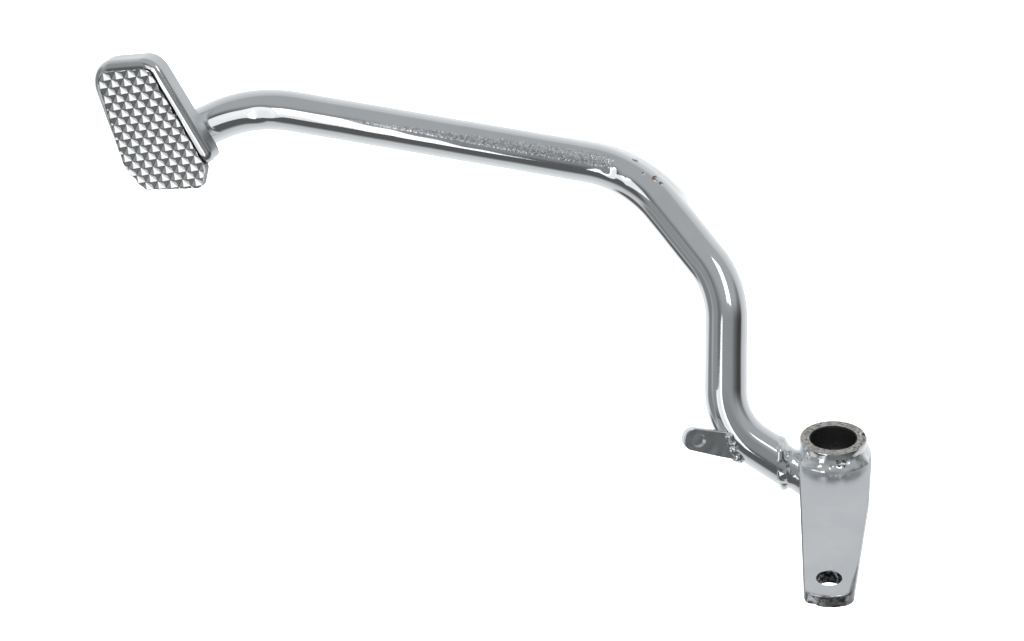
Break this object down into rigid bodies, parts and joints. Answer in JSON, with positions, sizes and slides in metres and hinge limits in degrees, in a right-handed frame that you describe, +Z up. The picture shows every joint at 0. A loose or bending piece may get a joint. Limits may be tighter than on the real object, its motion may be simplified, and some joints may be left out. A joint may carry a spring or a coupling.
{
  "type": "brake pedal",
  "caption": "Welded rear brake pedal for a motorcycle: pivot tube with a rod lever, bent tubular arm, side tab and a foot pad with a diamond tread.",
  "frame": {"origin": "centre of the pivot bore", "axes": "+Y along the pivot axis, away from the bike; +Z up with the foot pad's face level; -X towards the front of the bike"},
  "size_m": [0.3354, 0.1705, 0.136],
  "materials": {
    "hub_steel": "chrome-plated wall, ends bare and lightly rusted",
    "lever_plate_chrome": "chrome-plated flat plate with a rough sheared edge",
    "weld_chrome": "plated weld bead, lumpy with dark pores",
    "arm_chrome": "mirror chrome with light die marks, pebbling and rust specks",
    "tab_chrome": "plated flat tab, satin grey",
    "pad_shell_chrome": "plated formed sheet, soft gloss",
    "tread_chrome": "plated pyramid tread, bright"
  },
  "bodies": {
    "root": {"pivot_tube": "hub_steel", "rod_lever": "lever_plate_chrome", "lever_weld_outer": "weld_chrome", "lever_weld_inner": "weld_chrome", "pedal_arm": "arm_chrome", "arm_weld": "weld_chrome", "side_tab": "tab_chrome", "tab_weld": "weld_chrome", "pad_shell": "pad_shell_chrome", "tread_plate": "tread_chrome", "tread_tacks": "weld_chrome", "pad_weld": "weld_chrome"}
  },
  "joints": []
}
